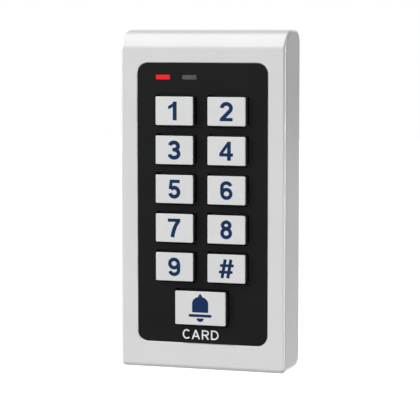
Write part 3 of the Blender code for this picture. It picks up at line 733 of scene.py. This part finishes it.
def digit_shapes():
    """Each mark as a list of shapes; a shape is a list of outlines, the first one outside."""
    six_hook = [(-1.97, -1.4)] + arc(0.08, 1.45, 2.05, 1.87, 180, 16, 14)
    six = [loop(0.12, -1.45, 1.98, 1.87, 1.6), [ribbon(six_hook, 1.6)]]
    nine = [[[(-x, -y) for x, y in outline] for outline in shape] for shape in six]
    return {
        "key_1": [[[(1.2, 4.15), (1.2, -4.1), (-0.62, -4.1), (-0.62, 1.75), (-1.5, 1.2),
                    (-2.75, 0.75), (-2.75, 2.1), (-1.6, 2.65), (-0.75, 3.35), (-0.3, 4.15)]]],
        "key_2": [[ribbon(arc(0.05, 1.5, 2.1, 1.87, 178, -38, 18) + [(-2.0, -3.3)], STROKE)],
                  [ribbon([(-2.9, -3.45), (2.9, -3.45)], BAR)]],
        "key_3": [[ribbon(arc(-0.1, 1.78, 1.95, 1.6, 168, -90, 18), STROKE)],
                  [ribbon(arc(-0.05, -1.6, 2.15, 1.77, 90, -172, 20), STROKE)],
                  [ribbon([(-0.8, 0.18), (0.1, 0.18)], BAR)]],
        "key_4": [[[(2.08, 4.15), (2.08, -0.92), (3.1, -0.92), (3.1, -2.35), (2.08, -2.35),
                    (2.08, -4.15), (0.42, -4.15), (0.42, -2.35), (-3.15, -2.35), (-3.15, -0.95),
                    (0.6, 4.15)],
                   [(0.42, 1.6), (-1.45, -0.92), (0.42, -0.92)]]],
        "key_5": [[ribbon([(-1.9, 3.45), (2.6, 3.45)], BAR)],
                  [ribbon([(-1.28, 4.1), (-1.85, 0.0)], BAR)],
                  [ribbon(arc(0.0, -1.33, 2.0, 2.02, 142, -166, 22), STROKE)]],
        "key_6": six,
        "key_7": [[ribbon([(-3.0, 3.45), (2.8, 3.45)], BAR)],
                  [ribbon(curve_through((2.1, 3.3), (-0.4, 0.1), (-0.85, -4.1)), STROKE)]],
        "key_8": [loop(0.0, 1.95, 1.66, 1.4, 1.6), loop(0.0, -1.53, 1.9, 1.86, 1.6)],
        "key_9": nine,
        "key_hash": [[ribbon([(-1.9, -4.15), (-0.4, 4.15)], 1.4)],
                     [ribbon([(0.75, -4.15), (2.2, 4.15)], 1.4)],
                     [ribbon([(-3.3, -1.5), (2.95, -1.5)], 1.25)],
                     [ribbon([(-2.8, 1.4), (3.5, 1.4)], 1.25)]],
        "key_bell": bell_shapes(),
    }


def bell_shapes():
    """A hand bell: a domed body with a pointed top, a brim below it and half a clapper."""
    right = (curve_through((0.0, 6.4), (0.45, 6.3), (0.95, 5.05), 6)
             + curve_through((0.95, 5.05), (3.75, 4.2), (3.75, 1.9), 12))
    foot = arc(3.4, -1.55, 0.35, 0.35, 0, -90, 4)
    half = right[:6] + right[7:] + foot
    body = half + [(-x, z) for x, z in reversed(half[1:])]
    brim = arc(4.75, -3.3, 0.62, 0.62, -90, 90, 8) + arc(-4.75, -3.3, 0.62, 0.62, 90, 270, 8)
    clapper = arc(0.0, -4.45, 1.65, 1.6, 180, 360, 16)
    return [[body], [brim], [clapper]]


def card_shapes():
    """The word CARD in plain capitals, set round the middle of the line."""
    pen = 0.62
    half = 2.12
    edge = half - pen / 2
    c = [[ribbon(arc(-7.2, 0.0, 1.6, edge + 0.04, 46, 314, 26), pen)]]
    a = [[ribbon([(-4.55, -half), (-2.97, half - 0.1)], pen)],
         [ribbon([(-2.97, half - 0.1), (-1.35, -half)], pen)],
         [ribbon([(-4.0, -0.85), (-1.9, -0.85)], 0.55)]]
    r_bowl = [(0.14, edge)] + arc(1.85, 0.74, 0.95, 0.93, 90, -90, 12) + [(0.14, -0.19)]
    r = [[ribbon([(0.14, -half), (0.14, half)], pen)], [ribbon(r_bowl, 0.6)],
         [ribbon([(1.5, -0.19), (2.85, -half)], pen)]]
    d_bowl = [(4.4, edge)] + arc(5.6, 0.0, 1.7, edge, 90, -90, 14) + [(4.4, -edge)]
    d = [[ribbon([(4.4, -half), (4.4, half)], pen)], [ribbon(d_bowl, 0.6)]]
    return c + a + r + d


def printed(name, shapes, look, body, x, y, z):
    """A thin raised print, its touching shapes joined into one."""
    solids = [extruded(outlines, PRINT_THICKNESS) for outlines in shapes]
    mesh = solids[0]
    if len(solids) > 1:
        mesh = combine(mesh, [("UNION", solid) for solid in solids[1:]])
    depth = PRINT_THICKNESS * MM
    upright(mesh, x, y - PRINT_PROUD + depth / 2, z, MM)
    link(name, mesh, look, body)


def make_prints():
    """A mark on each key, and the word on the panel below the bell."""
    for name, shapes in digit_shapes().items():
        x, z = cap_size(name)[:2]
        printed(f"{name}_mark", shapes, "navy_ink", f"{name}_press",
                x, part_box(name)[0][1], z)
    printed("card_mark", card_shapes(), "white_ink", "reader",
            0.0, PANEL_FACE, CARD_Z)


# ---------------------------------------------------------------- camera, light and floor

def make_camera():
    data = bpy.data.cameras.new("camera")
    data.lens = CAMERA_LENS
    data.sensor_width = 36.0
    camera = bpy.data.objects.new("camera", data)
    camera.location = CAMERA_PLACE
    camera.rotation_euler = (math.pi / 2 - CAMERA_PITCH, 0.0, CAMERA_YAW)
    bpy.context.scene.collection.objects.link(camera)
    bpy.context.scene.camera = camera


def area_light(name, place, size, power):
    """A rectangular light that points at the middle of the reader."""
    data = bpy.data.lights.new(name, "AREA")
    data.shape = "RECTANGLE"
    data.size, data.size_y = size
    data.energy = power
    light = bpy.data.objects.new(name, data)
    light.location = place
    light.rotation_euler = (-Vector(place)).to_track_quat("-Z", "Y").to_euler()
    bpy.context.scene.collection.objects.link(light)


def soft_step(tree, value, start, end, low, high):
    """A value that goes smoothly from low to high as the input goes from start to end."""
    made = node(tree, "ShaderNodeMapRange")
    made.interpolation_type = "SMOOTHSTEP"
    made.inputs["From Min"].default_value = start
    made.inputs["From Max"].default_value = end
    made.inputs["To Min"].default_value = low
    made.inputs["To Max"].default_value = high
    tree.links.new(value, made.inputs["Value"])
    return made.outputs["Result"]


def mixed_sum(tree, first, second, share):
    """first + share * second."""
    made = node(tree, "ShaderNodeMath")
    made.operation = "MULTIPLY_ADD"
    tree.links.new(second, made.inputs[0])
    made.inputs[1].default_value = share
    tree.links.new(first, made.inputs[2])
    return made.outputs["Value"]


def product(tree, first, second):
    made = node(tree, "ShaderNodeMath")
    made.operation = "MULTIPLY"
    tree.links.new(first, made.inputs[0])
    tree.links.new(second, made.inputs[1])
    return made.outputs["Value"]


def scaled(tree, value, factor, offset=0.0):
    """factor * value + offset, for two plain numbers."""
    made = node(tree, "ShaderNodeMath")
    made.operation = "MULTIPLY_ADD"
    tree.links.new(value, made.inputs[0])
    made.inputs[1].default_value = factor
    made.inputs[2].default_value = offset
    return made.outputs["Value"]


def make_world():
    """A pale room: grey to the right, darker at the front right, brighter far left and overhead.

    The crown mirrors the bright part overhead, and the reader's right side mirrors the grey.
    """
    world = bpy.data.worlds.new("studio")
    bpy.context.scene.world = world
    world.use_nodes = True
    tree = world.node_tree
    background = tree.nodes["Background"]
    place = tree.nodes.new("ShaderNodeTexCoord").outputs["Generated"]
    split = tree.nodes.new("ShaderNodeSeparateXYZ")
    tree.links.new(place, split.inputs["Vector"])
    across = mixed_sum(tree, split.outputs["X"], split.outputs["Y"], 0.1)
    side = soft_step(tree, across, 0.2, 0.4, 1.0, 0.3)
    ahead = mixed_sum(tree, split.outputs["X"], split.outputs["Y"], -1.0)
    side = product(tree, side, soft_step(tree, ahead, 0.75, 1.15, 1.0, 0.25))
    high = soft_step(tree, split.outputs["Z"], 0.2, 0.55, 0.0, 0.68)
    front = soft_step(tree, split.outputs["Y"], 0.3, 0.7, 1.0, -0.45)
    panel = product(tree, high, front)
    left = soft_step(tree, split.outputs["X"], -0.95, -0.7, 1.6, 1.0)
    room = mixed_sum(tree, left, panel, 1.0)
    tree.links.new(product(tree, room, side), background.inputs["Color"])
    background.inputs["Strength"].default_value = 1.0
    bpy.context.scene.view_settings.view_transform = "Standard"


def make_floor():
    """A pale floor that is white in the main view.

    Painted shade in its colour makes it darker close under the reader, behind it to the right,
    and a little in front of it, and it glows white by the same painted-light factor.
    """
    mesh = bpy.data.meshes.new("floor")
    shape = bmesh.new()
    bmesh.ops.create_grid(shape, x_segments=1, y_segments=1, size=6.0)
    shape.to_mesh(mesh)
    shape.free()
    floor = bpy.data.objects.new("floor", mesh)
    floor.location = (0.0, 0.0, FLOOR_Z)
    bpy.context.scene.collection.objects.link(floor)
    look, tree, shader, place = start_material("floor_painted_light_look")
    length = tree.nodes.new("ShaderNodeVectorMath")
    length.operation = "LENGTH"
    tree.links.new(place, length.inputs[0])
    split = tree.nodes.new("ShaderNodeSeparateXYZ")
    tree.links.new(place, split.inputs["Vector"])
    beside = mixed_sum(tree, split.outputs["X"], split.outputs["Y"], -0.15)
    # painted shade on the floor behind the reader to the right
    painted_shade_behind_right = product(tree, soft_step(tree, beside, 0.0, 0.3, 0.0, 1.0),
                           soft_step(tree, split.outputs["Y"], 0.0, 0.7, 0.0, -0.92))
    dim = scaled(tree, painted_shade_behind_right, 1.0, 1.0)
    # away holds the painted floor shade: darker within about a metre of the reader, and a little
    # darker in front of it
    away = product(tree, soft_step(tree, length.outputs["Value"], 0.25, 1.05, 0.0, 1.0), dim)
    away = product(tree, away, soft_step(tree, split.outputs["Y"], -1.2, 0.4, 0.72, 1.0))
    # the painted floor shade, with a faint random tone
    grain = product(tree, away, remap(tree, noise(tree, place, 3.0), 0.98, 1.0))
    tree.links.new(ramp(tree, grain, (0.42, 0.42, 0.42), (0.92, 0.92, 0.92), 0.0, 1.0),
                   shader.inputs["Base Color"])
    shader.inputs["Roughness"].default_value = 0.8
    shader.inputs["Emission Color"].default_value = (1.0, 1.0, 1.0, 1.0)
    # painted glow: the floor gives off white light by the same painted-light factor
    tree.links.new(scaled(tree, away, 0.3), shader.inputs["Emission Strength"])
    mesh.materials.append(look)


carry_over()
make_housing()
make_panel()
make_indicators()
for key in KEYS:
    make_key(key)
make_prints()
make_camera()
make_world()
make_floor()
area_light("key light", (-0.75, -0.5, 0.35), (0.5, 0.5), 3.8)
area_light("edge light", (1.47, -0.30, 0.25), (0.05, 1.0), 4.6)
